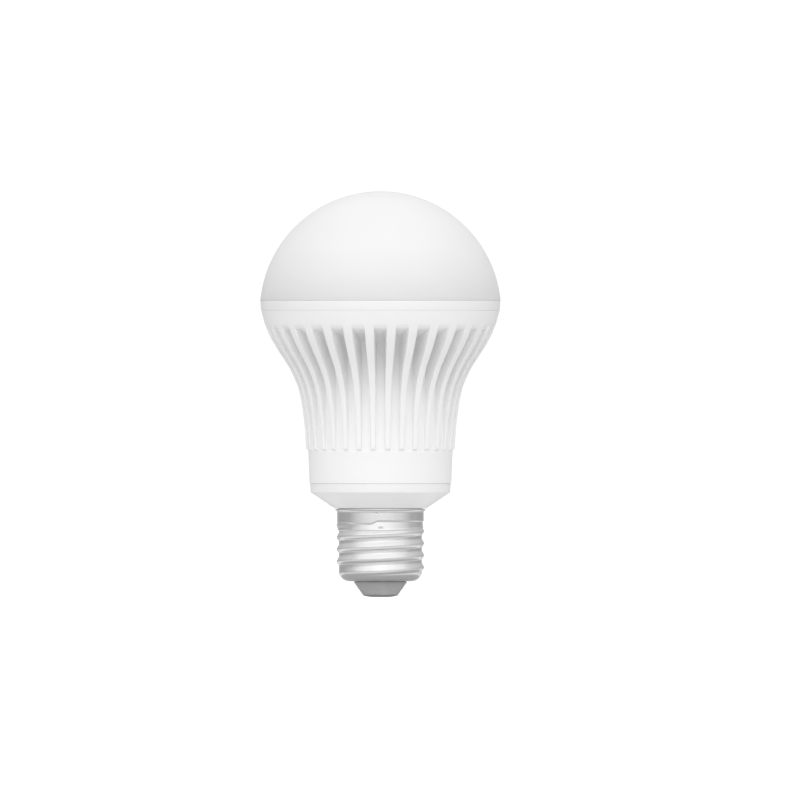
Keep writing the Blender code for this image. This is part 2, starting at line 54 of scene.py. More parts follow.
def curve_at(knots, z):
    """Smooth curve through (height, radius) knots with no overshoot between them."""
    if z <= knots[0][0]:
        return knots[0][1]
    if z >= knots[-1][0]:
        return knots[-1][1]
    slopes = [(b[1] - a[1]) / (b[0] - a[0]) for a, b in zip(knots, knots[1:])]
    ends = [slopes[0]]
    for before, after in zip(slopes, slopes[1:]):
        ends.append(0.0 if before * after <= 0 else 2 * before * after / (before + after))
    ends.append(slopes[-1])
    for i, (a, b) in enumerate(zip(knots, knots[1:])):
        if z <= b[0]:
            span = b[0] - a[0]
            t = (z - a[0]) / span
            return (
                (2 * t**3 - 3 * t**2 + 1) * a[1]
                + (t**3 - 2 * t**2 + t) * span * ends[i]
                + (3 * t**2 - 2 * t**3) * b[1]
                + (t**3 - t**2) * span * ends[i + 1]
            )
    return knots[-1][1]


def softened(corners, closed=False, steps=4, straight=None):
    """(r, z, fillet) corners to (r, z) points, each corner replaced by an arc-like blend.

    straight adds points along long runs, no further apart than this.
    """
    count = len(corners)
    points = []
    for i, (r, z, fillet) in enumerate(corners):
        here = Vector((r, z))
        if not closed and i in (0, count - 1) or fillet <= 0:
            points.append(here)
            continue
        before = Vector(corners[i - 1][:2])
        after = Vector(corners[(i + 1) % count][:2])
        a, b = before - here, after - here
        reach = min(fillet, a.length * 0.48, b.length * 0.48)
        start, end = here + a.normalized() * reach, here + b.normalized() * reach
        for s in range(steps + 1):
            t = s / steps
            # a conic with the weight of a circular arc for a right angle
            w = 0.72
            d = (1 - t) ** 2 + 2 * w * t * (1 - t) + t**2
            points.append(((1 - t) ** 2 * start + 2 * w * t * (1 - t) * here + t**2 * end) / d)
    if straight:
        runs = list(zip(points, points[1:] + (points[:1] if closed else [])))
        fine = []
        for a, b in runs:
            n = max(1, math.ceil((b - a).length / straight))
            fine += [a.lerp(b, s / n) for s in range(n)]
        if not closed:
            fine.append(points[-1])
        points = fine
    return [(p.x, p.y) for p in points]


def mesh_object(name, verts, faces, sharp=38.0):
    mesh = bpy.data.meshes.new(name)
    mesh.from_pydata([tuple(c * MM for c in v) for v in verts], [], faces)
    bm = bmesh.new()
    bm.from_mesh(mesh)
    bmesh.ops.recalc_face_normals(bm, faces=bm.faces)
    bm.to_mesh(mesh)
    bm.free()
    mesh.shade_smooth()
    if sharp:
        mesh.set_sharp_from_angle(angle=math.radians(sharp))
    made = bpy.data.objects.new(name, mesh)
    bpy.context.scene.collection.objects.link(made)
    return made


def loft(name, rings, ring_shaped=False, sharp=38.0):
    """Quads between rings of equal count. A ring of one point is a pole; open ends are capped."""
    verts, starts = [], []
    for ring in rings:
        starts.append((len(verts), len(ring)))
        verts += ring
    faces = []
    pairs = list(zip(starts, starts[1:]))
    if ring_shaped:
        pairs.append((starts[-1], starts[0]))
    for (a, na), (b, nb) in pairs:
        for i in range(max(na, nb)):
            j = (i + 1) % max(na, nb)
            if na == 1:
                faces.append((a, b + j, b + i))
            elif nb == 1:
                faces.append((a + i, a + j, b))
            else:
                faces.append((a + i, a + j, b + j, b + i))
    if not ring_shaped:
        for at, n in (starts[0], starts[-1]):
            if n > 1:
                faces.append(tuple(range(at, at + n)))
    return mesh_object(name, verts, faces, sharp)


def circle(radius, z, sides, x=0.0, y=0.0):
    if radius <= 1e-9:
        return [(x, y, z)]
    return [
        (x + radius * math.cos(2 * math.pi * i / sides), y + radius * math.sin(2 * math.pi * i / sides), z)
        for i in range(sides)
    ]


def turned(name, profile, sides=192, ring_shaped=False, x=0.0, y=0.0, sharp=38.0):
    return loft(name, [circle(r, z, sides, x, y) for r, z in profile], ring_shaped, sharp)


def carve(target, cutters, sharp=38.0):
    """Takes the cutters out of the target, and keeps the result as its mesh."""
    for tool in cutters:
        cut = target.modifiers.new(tool.name, "BOOLEAN")
        cut.operation = "DIFFERENCE"
        cut.solver = "MANIFOLD"
        cut.object = tool
    graph = bpy.context.evaluated_depsgraph_get()
    result = bpy.data.meshes.new_from_object(target.evaluated_get(graph))
    target.modifiers.clear()
    old = target.data
    target.data = result
    result.name = old.name
    bpy.data.meshes.remove(old)
    result.shade_smooth()
    result.set_sharp_from_angle(angle=math.radians(sharp))
    for tool in cutters:
        spare = tool.data
        bpy.data.objects.remove(tool, do_unlink=True)
        bpy.data.meshes.remove(spare)


def stands_for(piece, node, look):
    piece.data.materials.clear()
    piece.data.materials.append(look)
    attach(piece, "root")
    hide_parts(node)


# ================================================================ materials
class Look:
    """A Principled material with a few short calls for building its nodes."""

    def __init__(self, name, roughness=0.4, metallic=0.0, ior=1.5):
        self.material = bpy.data.materials.new(name)
        self.material.use_nodes = True
        self.tree = self.material.node_tree
        self.nodes, self.links = self.tree.nodes, self.tree.links
        self.shader = self.nodes["Principled BSDF"]
        self.set("Roughness", roughness)
        self.set("Metallic", metallic)
        self.set("IOR", ior)
        self.where = self.nodes.new("ShaderNodeTexCoord").outputs["Object"]

    def set(self, socket, value):
        self.shader.inputs[socket].default_value = value

    def stretched(self, scale):
        node = self.nodes.new("ShaderNodeMapping")
        node.inputs["Scale"].default_value = scale
        self.links.new(self.where, node.inputs["Vector"])
        return node.outputs["Vector"]

    def noise(self, scale, detail=2.0, rough=0.5, vector=None, distortion=0.0):
        node = self.nodes.new("ShaderNodeTexNoise")
        node.inputs["Scale"].default_value = scale
        node.inputs["Detail"].default_value = detail
        node.inputs["Roughness"].default_value = rough
        node.inputs["Distortion"].default_value = distortion
        self.links.new(vector or self.where, node.inputs["Vector"])
        return node.outputs["Fac"]

    def cells(self, scale, feature="F1", vector=None, output="Distance"):
        node = self.nodes.new("ShaderNodeTexVoronoi")
        node.feature = feature
        node.inputs["Scale"].default_value = scale
        self.links.new(vector or self.where, node.inputs["Vector"])
        return node.outputs[output]

    def ramp(self, value, stops):
        node = self.nodes.new("ShaderNodeValToRGB")
        ends = node.color_ramp.elements
        while len(ends) > 2:
            ends.remove(ends[-1])
        for i, (at, colour) in enumerate(stops):
            end = ends[i] if i < 2 else ends.new(at)
            end.position = at
            end.color = (*colour, 1.0)
        self.links.new(value, node.inputs["Fac"])
        return node.outputs["Color"]

    def span(self, value, low, high, start=0.3, stop=0.7):
        node = self.nodes.new("ShaderNodeMapRange")
        node.clamp = True
        node.inputs["From Min"].default_value = start
        node.inputs["From Max"].default_value = stop
        node.inputs["To Min"].default_value = low
        node.inputs["To Max"].default_value = high
        self.links.new(value, node.inputs["Value"])
        return node.outputs["Result"]

    def math(self, operation, a, b=None):
        node = self.nodes.new("ShaderNodeMath")
        node.operation = operation
        for socket, value in zip(node.inputs, (a, b)):
            if value is None:
                continue
            if isinstance(value, (int, float)):
                socket.default_value = value
            else:
                self.links.new(value, socket)
        return node.outputs["Value"]

    def blend(self, factor, a, b, mode="MIX"):
        node = self.nodes.new("ShaderNodeMix")
        node.data_type = "RGBA"
        node.blend_type = mode
        for socket, value in ((node.inputs[0], factor), (node.inputs[6], a), (node.inputs[7], b)):
            if isinstance(value, (int, float)):
                socket.default_value = value
            elif isinstance(value, tuple):
                socket.default_value = (*value, 1.0)
            else:
                self.links.new(value, socket)
        return node.outputs[2]

    def axis(self, letter):
        node = self.nodes.new("ShaderNodeSeparateXYZ")
        self.links.new(self.where, node.inputs["Vector"])
        return node.outputs[letter]

    def colour(self, value):
        self.links.new(value, self.shader.inputs["Base Color"])

    def roughness(self, value):
        self.links.new(value, self.shader.inputs["Roughness"])

    def bump(self, *layers):
        """Each layer is (height, strength, depth in metres)."""
        normal = None
        for height, strength, depth in layers:
            node = self.nodes.new("ShaderNodeBump")
            node.inputs["Strength"].default_value = strength
            node.inputs["Distance"].default_value = depth
            self.links.new(height, node.inputs["Height"])
            if normal:
                self.links.new(normal, node.inputs["Normal"])
            normal = node.outputs["Normal"]
        self.links.new(normal, self.shader.inputs["Normal"])


def grey(v):
    return (v, v, v)


# painted shade: the opal plastic's colour darkens by height towards its rim, where the ring and the board behind it
# take its light, and a little towards its top
GLOBE_SHADE_TONES = [(0.0, grey(0.688)), (0.25, grey(0.735)), (0.5, grey(0.752)), (0.75, grey(0.733)), (1.0, grey(0.712))]


def opal_look():
    look = Look("opal_plastic", 0.40, ior=1.49)
    soft = look.ramp(look.noise(60.0, 3.0), [(0.25, grey(0.985)), (0.75, grey(1.0))])
    rise = look.span(look.axis("Z"), 0.0, 1.0, 0.089, 0.122)
    # painted shade: the globe's colour by height, darker near the rim and a little towards the top
    depth = look.ramp(rise, GLOBE_SHADE_TONES)
    look.colour(look.blend(1.0, depth, soft, "MULTIPLY"))
    look.roughness(look.span(look.noise(240.0, 4.0, 0.6), 0.36, 0.44))
    look.set("Sheen Weight", 0.12)
    look.set("Sheen Roughness", 0.6)
    look.set("Subsurface Weight", 0.18)
    look.set("Subsurface Radius", (1.0, 1.0, 0.95))
    look.set("Subsurface Scale", 0.0015)
    look.bump((look.noise(5200.0, 2.0), 0.12, 0.00002), (look.noise(90.0, 1.0), 0.05, 0.0002))
    return look.material


def paint_look():
    """White powder coat: a faint orange peel over a fine grain."""
    look = Look("white_paint", 0.38, ior=1.5)
    tone = look.ramp(look.noise(45.0, 4.0, 0.6), [(0.2, (0.870, 0.870, 0.870)), (0.8, (0.900, 0.900, 0.899))])
    speck = look.span(look.cells(2600.0), 0.985, 1.0, 0.0, 0.25)
    look.colour(look.blend(1.0, tone, speck, "MULTIPLY"))
    look.roughness(look.span(look.noise(700.0, 3.0, 0.6), 0.34, 0.44))
    look.bump((look.noise(1100.0, 2.0), 0.10, 0.00004), (look.noise(7000.0, 1.0), 0.10, 0.00001))
    return look.material


def plastic_look(name, low, high, roughness=(0.28, 0.36)):
    """Moulded white plastic with a fine spark-eroded grain."""
    look = Look(name, roughness[0], ior=1.52)
    look.colour(look.ramp(look.noise(70.0, 3.0), [(0.25, grey(low)), (0.75, grey(high))]))
    look.roughness(look.span(look.noise(900.0, 3.0, 0.6), *roughness))
    look.bump((look.noise(6500.0, 2.0), 0.10, 0.00001), (look.noise(160.0, 1.0), 0.04, 0.0001))
    return look.material


def nickel_look():
    """Plated sheet with fine marks that run round it from rolling, and faint rubs."""
    look = Look("nickel_plate", 0.24, 1.0)
    marks = look.noise(1.0, 5.0, 0.65, look.stretched((160.0, 160.0, 9000.0)))
    clouds = look.noise(260.0, 4.0, 0.6)
    tone = look.ramp(marks, [(0.25, (0.625, 0.625, 0.628)), (0.75, (0.70, 0.70, 0.702))])
    dull = look.ramp(clouds, [(0.3, (0.96, 0.96, 0.96)), (0.7, (1.0, 1.0, 1.0))])
    look.colour(look.blend(1.0, tone, dull, "MULTIPLY"))
    look.roughness(look.span(look.noise(420.0, 5.0, 0.65), 0.17, 0.25))
    look.bump((marks, 0.10, 0.00001), (look.noise(520.0, 2.0), 0.03, 0.00003))
    return look.material


def insulator_look():
    look = Look("insulator", 0.5, ior=1.5)
    clay = look.ramp(look.noise(500.0, 5.0, 0.6), [(0.25, grey(0.50)), (0.75, grey(0.59))])
    # painted shade: darker towards the shell, whose overhang shades it, and lighter towards the bottom, where light
    # comes up from below
    rise = look.span(look.axis("Z"), 0.0, 1.0, 0.001, 0.0046)
    painted_shade = look.ramp(rise, [(0.0, grey(1.0)), (0.35, grey(0.93)), (0.72, grey(0.84)), (0.86, grey(0.78)), (1.0, grey(0.66))])
    look.colour(look.blend(1.0, clay, painted_shade, "MULTIPLY"))
    look.roughness(look.span(look.noise(900.0, 3.0), 0.40, 0.55))
    look.bump((look.noise(2600.0, 3.0), 0.15, 0.00003))
    return look.material


def contact_look():
    look = Look("contact_metal", 0.35, 1.0)
    look.colour(look.ramp(look.noise(700.0, 4.0, 0.6), [(0.25, (0.42, 0.42, 0.42)), (0.75, (0.55, 0.55, 0.54))]))
    look.roughness(look.span(look.noise(1500.0, 4.0), 0.25, 0.45))
    look.bump((look.noise(1300.0, 4.0), 0.25, 0.00006))
    return look.material


# ================================================================ globe and ring
GLOBE_R, GLOBE_Z = 36.3, 85.7
SEAM_Z = 89.0


def make_globe():
    edge = SEAM_Z + 0.015
    start = math.asin((edge + 0.15 - GLOBE_Z) / GLOBE_R)
    outer = []
    for i in range(73):
        a = math.pi / 2 + (start - math.pi / 2) * i / 72
        outer.append((0.0 if i == 0 else GLOBE_R * math.cos(a), GLOBE_Z + GLOBE_R * math.sin(a)))
    rim_r = GLOBE_R * math.cos(start)
    rim = softened(
        [
            (rim_r, edge + 0.15, 0.0),
            (rim_r - 0.01, edge, 0.02),
            (34.0, edge, 0.15),
            (34.0, 86.3, 0.3),
            (32.9, 86.3, 0.3),
            (32.9, 89.5, 0.0),
        ],
        steps=4,
    )[1:]
    inner_r = GLOBE_R - 1.5
    inner = []
    for i in range(41):
        a = math.radians(8.0) + (math.pi / 2 - math.radians(8.0)) * i / 40
        inner.append((0.0 if i == 40 else inner_r * math.cos(a), GLOBE_Z + inner_r * math.sin(a)))
    return turned("globe", outer + rim + inner, 224)


globe = make_globe()
stands_for(globe, "globe_diffuser", opal_look())

ring = turned(
    "retaining_ring",
    softened(
        [
            (34.35, 86.09, 0.15),
            (35.86, 86.09, 0.02),
            (36.00, 87.4, 1.0),
            (36.10, SEAM_Z, 0.04),
            (34.35, SEAM_Z, 0.15),
        ],
        closed=True,
        steps=5,
    ),
    224,
    ring_shaped=True,
)
WHITE_PLASTIC = plastic_look("white_plastic", 0.835, 0.86)
stands_for(ring, "diffuser_ring", WHITE_PLASTIC)

# ================================================================ heat sink
FINS = 32
FIN_LOW, FIN_HIGH = 44.1, 81.7
EDGE = (
    (43.0, 22.36), (50.0, 22.76), (56.1, 23.43), (62.1, 24.57), (68.1, 27.02),
    (74.1, 30.80), (78.6, 33.38), (80.7, 34.26), (83.1, 35.04), (86.0, 35.80),
)
FLOOR = (
    (43.0, 21.70), (45.5, 21.68), (52.0, 21.72), (60.0, 21.98), (72.0, 22.80), (74.6, 23.45), (76.4, 24.45), (77.7, 26.0),
    (78.7, 28.1), (79.5, 30.6), (80.1, 32.4), (80.6, 33.60), (81.1, 34.15), (81.7, 34.56),
)
ROOT = ((44.0, 0.08), (50.0, 0.09), (59.0, 0.14), (68.0, 0.18), (75.0, 0.15), (82.0, 0.15))
SKIRT = ((34.15, 21.33), (39.5, 21.51), (44.2, 21.72))
SKIRT_LOW = 34.15


def fin_half(z):
    """Half of a fin's thickness, with rounded corners where it ends and where it joins the collar."""
    share = max(0.0, (z - 45.0) / 31.0)
    half = (1.42 + 1.10 * share**1.6) / 2
    low = z - FIN_LOW
    if low < 0.22:
        half -= 0.22 - math.sqrt(max(0.0, 0.22**2 - (0.22 - max(0.0, low)) ** 2))
    high = (z - 80.9) / 0.8
    if high > 0:
        half += 0.34 * (1 - math.sqrt(max(0.0, 1 - min(high, 1.0) ** 2)))
    return half


TIP_STEPS, SIDE_STEPS, ROOT_STEPS, FLOOR_STEPS = 4, 3, 5, 3


def half_section(tip, floor, half, root=0.4):
    """Half a fin and half a gap, from the fin's middle to the gap's, as (angle, radius)."""
    rise = max(0.0, tip - floor)
    tip_round = min(0.28, 0.40 * rise)
    room = max(0.1, floor * math.pi / FINS - half)
    root_round = min(root, 0.45 * rise, 0.8 * room)
    points = [(0.0, tip)]
    face = max(0.05, half - tip_round)
    points.append((face * 0.5 / tip, tip))

    def polar(u, v):
        return math.atan2(v, u), math.hypot(u, v)

    base_u = math.sqrt(tip**2 - face**2)
    for i in range(TIP_STEPS + 1):
        a = math.pi / 2 * i / TIP_STEPS
        points.append(polar(base_u - tip_round + tip_round * math.cos(a), face + tip_round * math.sin(a)))
    top_u = base_u - tip_round
    foot_v = half + root_round
    foot_u = math.sqrt(floor**2 - foot_v**2)
    low_u = foot_u + root_round
    for i in range(1, SIDE_STEPS + 1):
        t = i / (SIDE_STEPS + 1)
        points.append(polar(top_u + (low_u - top_u) * t, half))
    for i in range(ROOT_STEPS + 1):
        a = math.pi / 2 * i / ROOT_STEPS
        points.append(polar(low_u - root_round * math.sin(a), foot_v - root_round * math.cos(a)))
    start = points[-1][0]
    end = math.pi / FINS
    for i in range(1, FLOOR_STEPS + 1):
        points.append((start + (end - start) * i / FLOOR_STEPS, floor))
    return points


def whole_ring(section, z):
    """32 fins from half a fin and half a gap. A gap faces the front."""
    points = []
    for k in range(FINS):
        middle = 2 * math.pi * (k + 0.5) / FINS + FRONT
        for a, r in reversed(section[1:]):
            if a < math.pi / FINS - 1e-9:
                points.append((r * math.cos(middle - a), r * math.sin(middle - a), z))
        for a, r in section:
            points.append((r * math.cos(middle + a), r * math.sin(middle + a), z))
    return points


def plain_section(radius):
    """The same number of points, evenly spaced on a circle."""
    count = len(half_section(30.0, 24.0, 1.0))
    return [(math.pi / FINS * i / (count - 1), radius) for i in range(count)]


def mixed(a, b, t):
    return [((1 - t) * p[0] + t * q[0], (1 - t) * p[1] + t * q[1]) for p, q in zip(a, b)]


def make_heat_sink():
    rings = []
    # skirt, from its lower edge up to the fins' ends
    for r, z in softened([(20.6, SKIRT_LOW, 0.0), (21.33, SKIRT_LOW, 0.03), (21.39, 36.0, 0.0)], steps=4):
        rings.append(whole_ring(plain_section(r), z))
    first_fin = half_section(22.3, 21.72, fin_half(FIN_LOW + 0.38))
    for i in range(1, 11):
        z = 36.0 + (FIN_LOW - 0.05 - 36.0) * i / 10
        r = curve_at(SKIRT, z)
        blend = ease((z - 38.0) / 5.0)
        angles = mixed(plain_section(r), [(a, r) for a, _ in first_fin], blend)
        rings.append(whole_ring([(a, r) for a, _ in angles], z))
    # fins: close levels where they end, where the floor turns, and even ones between
    levels = [FIN_LOW + 0.6 * (1 - math.cos(math.pi / 2 * i / 9)) for i in range(10)]
    levels += [FIN_LOW + 0.6 + (74.6 - FIN_LOW - 0.6) * i / 44 for i in range(1, 45)]
    levels += [74.6 + (78.6 - 74.6) * i / 12 for i in range(1, 13)]
    levels += [78.6 + (FIN_HIGH - 78.6) * i / 30 for i in range(1, 30)]
    for z in levels:
        tip = curve_at(EDGE, z)
        low = z - FIN_LOW
        if low < 0.5:
            # the fin's lower end slopes back to the skirt
            tip -= (tip - 21.80) * (1 - low / 0.5) ** 1.2
        floor = min(curve_at(FLOOR, z), tip - 0.02)
        rings.append(whole_ring(half_section(tip, floor, fin_half(z), curve_at(ROOT, z)), z))
    # collar: the section's angles even out over a short height
    z0 = FIN_HIGH + 0.04
    section = half_section(curve_at(EDGE, z0), curve_at(EDGE, z0) - 0.01, fin_half(FIN_HIGH))
    for i in range(0, 5):
        z = z0 + 1.0 * i / 4
        r = curve_at(EDGE, z)
        rings.append(whole_ring([(a, r) for a, _ in mixed(section, plain_section(r), ease(i / 4))], z))
    for i in range(1, 9):
        z = z0 + 1.0 + (85.7 - z0 - 1.0) * i / 8
        rings.append(whole_ring(plain_section(curve_at(EDGE, z)), z))
    top = curve_at(EDGE, 85.7)
    for r, z in softened([(top, 85.7, 0), (top + 0.09, 86.07, 0.02), (34.8, 86.07, 0)], steps=4)[1:]:
        rings.append(whole_ring(plain_section(r), z))
    body = loft("heat_sink_body", rings)
    bore = loft("bore", [circle(19.6, z, 128) for z in (32.0, 80.2)])
    recess = loft(
        "recess",
        [circle(r, z, 128) for r, z in ((32.3, 84.0), (32.3, 84.9), (34.3, 84.9), (34.3, 88.0))],
    )
    slots = []
    for n, (x, y, length, width) in enumerate(((11.0, 3.0, 3.6, 7.2), (0.0, 0.0, 13.2, 2.2))):
        slots.append(
            loft(
                f"slot_{n}",
                [
                    [(x + sx * length / 2, y + sy * width / 2, z) for sx, sy in ((-1, -1), (1, -1), (1, 1), (-1, 1))]
                    for z in (78.0, 92.0)
                ],
            )
        )
    holes = []
    for n, degrees in enumerate((90.0, 210.0, 330.0)):
        a = math.radians(degrees)
        holes.append(
            loft(f"hole_{n}", [circle(1.75, z, 32, 23.0 * math.cos(a), 23.0 * math.sin(a)) for z in (79.6, 92.0)])
        )
    carve(body, [bore, recess] + slots + holes)
    return body


heat_sink = make_heat_sink()
stands_for(heat_sink, "heat_sink", paint_look())

# ================================================================ base housing
housing = turned(
    "housing",
    softened(
        [
            (17.9, 40.3, 0.3),
            (19.25, 40.3, 0.3),
            (19.25, 34.12, 0.1),
            (21.15, 34.12, 0.04),
            (20.96, 31.46, 0.22),
            (13.84, 26.67, 0.05),
            (12.74, 26.66, 0.04),
            (12.74, 26.48, 0.02),
            (11.7, 26.46, 0.2),
            (11.7, 9.0, 0.3),
            (10.3, 9.0, 0.3),
            (10.3, 28.0, 1.0),
            (17.9, 33.4, 1.0),
        ],
        closed=True,
        steps=5,
    ),
    224,
    ring_shaped=True,
)
HOUSING_PLASTIC = plastic_look("housing_plastic", 0.845, 0.87, (0.30, 0.40))
stands_for(housing, "base_housing", HOUSING_PLASTIC)

# ================================================================ screw shell
PITCH = 3.629
CREST_Z = 8.885
ROOT_R, CREST_R, BAND_R = 12.44, 13.12, 13.0
# a ridge's two flanks: (distance from its crest, share of its height)
RIDGE_ABOVE = ((0.0, 1.0), (0.15, 0.965), (0.30, 0.885), (0.60, 0.655), (0.95, 0.38), (1.22, 0.17), (1.42, 0.05), (1.60, 0.0))
RIDGE_BELOW = ((0.0, 1.0), (0.12, 0.975), (0.25, 0.905), (0.55, 0.665), (0.82, 0.44), (0.98, 0.21), (1.08, 0.06), (1.18, 0.0))
WALL = 0.36
BOTTOM = (
    (4.75, 9.60), (4.84, 10.15), (4.96, 10.48), (5.26, 11.10), (5.56, 11.52), (5.86, 11.79), (6.16, 12.02),
    (6.46, 12.19), (6.76, 12.30), (7.06, 12.39), (7.40, 12.45),
)
# by turns round from +X: where the plain band ends, and where the plain land under it starts
BAND_END = ((0.0, 22.70), (0.25, 22.66), (0.50, 22.45), (0.60, 22.30), (0.70, 22.00), (0.712, 22.02), (0.742, 22.84), (1.0, 22.70))
LAND_START = ((0.0, 20.75), (0.28, 21.80), (0.36, 21.50), (0.50, 20.00), (0.75, 19.95), (1.0, 20.75))
LAND_LOW, LAND_HIGH = 12.82, 12.66
# how far the band flares out under its lip
FLARE = ((25.42, 0.0), (25.62, 0.055), (25.82, 0.17), (25.98, 0.31), (26.12, 0.47))


def ridge_shape(s):
    """1 at a ridge's crest and 0 where it has run into the root, gentler above the crest than below it."""
    flank = RIDGE_ABOVE if s > 0 else RIDGE_BELOW
    return curve_at(flank, abs(s)) if abs(s) < flank[-1][0] else 0.0


def threaded(turn, z):
    """Radius of the shell under its plain band."""
    height = 0.0
    for k in range(-1, 4):
        along = turn + k
        strength = ease((along + 0.55) / 0.55) * ease((3.70 - along) / 0.20)
        height = max(height, strength * ridge_shape(z - (CREST_Z + PITCH * along)))
    start, end = curve_at(LAND_START, turn), curve_at(BAND_END, turn)
    share = min(1.0, max(0.0, (z - start) / (end - start)))
    land = LAND_LOW + (LAND_HIGH - LAND_LOW) * share
    root = ROOT_R + (land - ROOT_R) * ease((z - start) / 0.40 + 0.5)
    if z < 7.6:
        root = min(root, curve_at(BOTTOM, z))
    return root + (CREST_R - root) * height if z > 7.6 else root + (CREST_R - ROOT_R) * height


def shell_outer(angle, z):
    turn = (angle / (2 * math.pi)) % 1.0
    band = ease((z - curve_at(BAND_END, turn) + 0.17) / 0.34)
    return threaded(turn, z) * (1 - band) + BAND_R * band + curve_at(FLARE, z)


# punch marks: (degrees, height, radius, depth, half length round the shell)
MARKS = tuple((d, 25.0, 0.36, 0.07, 0.0) for d in (-95.0, -5.0, 85.0, 175.0)) + ((-89.6, 20.95, 0.24, 0.15, 0.55),)


def marked(angle, z, radius):
    for degrees, mz, size, depth, half in MARKS:
        turn = (angle - math.radians(degrees) + math.pi) % (2 * math.pi) - math.pi
        d = math.hypot(max(0.0, abs(turn * radius) - half), z - mz) / size
        if d < 1.9:
            radius -= depth * (1 - ease(d / 1.05)) - depth * 0.16 * math.exp(-((d - 1.25) ** 2) * 14)
    return radius


def make_shell():
    steps = {round(1.25 * i, 3) for i in range(288)}
    for degrees, *_ in MARKS:
        steps |= {round((degrees + 0.28 * i) % 360, 3) for i in range(-9, 10)}
    # the step in the band's lower edge, and the mark beside it
    steps |= {round((-90.0 + 0.28 * i) % 360, 3) for i in range(-54, 36)}
    angles, last = [], -1.0
    for step in sorted(steps):
        if step - last > 0.12:
            angles.append(math.radians(step))
            last = step
    levels = {round(7.62 + 0.12 * i, 3) for i in range(155)}
    for _, mz, *_ in MARKS:
        levels |= {round(mz + 0.055 * i, 3) for i in range(-12, 13)}
    heights, last = [], 0.0
    for level in sorted(levels):
        if level - last > 0.03:
            heights.append(level)
            last = level

    def ring(z, radius=None, inset=0.0):
        found = []
        for a in angles:
            r = radius if radius is not None else marked(a, z, shell_outer(a, z)) - inset
            found.append((r * math.cos(a), r * math.sin(a), z))
        return found

    rings = []
    for r, z in softened([(8.12, 5.15, 0), (8.12, 4.75, 0.12), (9.2, 4.75, 0)], steps=4):
        rings.append(ring(z, r))
    for i in range(24):
        rings.append(ring(4.75 + (7.55 - 4.75) * (i / 24) ** 1.5))
    rings += [ring(z) for z in heights]
    top = heights[-1]
    # the lip that turns out under the housing
    for r, z in softened(
        [
            (BAND_R + FLARE[-1][1], top, 0),
            (13.56, 26.16, 0.03),
            (13.55, 26.45, 0.03),
            (12.45, 26.45, 0.10),
            (BAND_R - WALL, 25.9, 0.3),
            (BAND_R - WALL, 25.4, 0),
        ],
        steps=4,
    )[1:]:
        rings.append(ring(z, r))
    for i in range(71):
        rings.append(ring(25.3 + (7.7 - 25.3) * i / 70, None, WALL))
    for i in range(12):
        t = 1 - (i + 1) / 13
        z = 4.75 + 2.85 * t**1.5
        rings.append(ring(z + WALL * (1 - t), curve_at(BOTTOM, z) - WALL * t))
    rings.append(ring(5.11, 8.5))
    return loft("threaded_shell", rings, ring_shaped=True, sharp=None)


shell = make_shell()
stands_for(shell, "screw_shell", nickel_look())

# ================================================================ insulator and contact
insulator = turned(
    "insulator",
    softened(
        [
            (1.25, 0.64, 0.1),
            (5.35, 0.64, 0.04),
            (8.04, 4.58, 0.06),
            (7.72, 4.62, 0.05),
            (7.72, 5.5, 0.1),
            (9.7, 5.6, 0.1),
            (10.2, 6.2, 0.1),
            (10.2, 6.9, 0.2),
            (1.25, 6.9, 0.2),
        ],
        closed=True,
        steps=4,
    ),
    160,
    ring_shaped=True,
)
stands_for(insulator, "base_insulator", insulator_look())


def make_contact():
    profile = [(0.0, 0.0), (1.4, 0.0), (2.2, 0.0)]
    for i in range(1, 13):
        t = i / 12
        profile.append((2.2 + 2.98 * t, 0.42 * t**1.7))
    profile += softened([(5.18, 0.42, 0), (5.27, 0.48, 0.06), (5.27, 0.60, 0.04), (5.1, 0.62, 0)], steps=3)[1:]
    profile += [(0.95, 0.62), (0.9, 0.70), (0.9, 3.5), (0.8, 3.6), (0.0, 3.6)]
    return turned("contact", profile, 96)


contact = make_contact()
stands_for(contact, "centre_contact", contact_look())


# ================================================================ inside: the CAD solids keep their shape
def simple_look(name, dark, light, roughness=(0.35, 0.5), metallic=0.0, scale=500.0, bump=0.12, depth=0.00003):
    look = Look(name, roughness[0], metallic)
    look.colour(look.ramp(look.noise(scale, 4.0, 0.6), [(0.25, dark), (0.75, light)]))
    look.roughness(look.span(look.noise(scale * 1.7, 3.0), *roughness))
    look.bump((look.noise(scale * 4, 2.0), bump, depth))
    return look.material


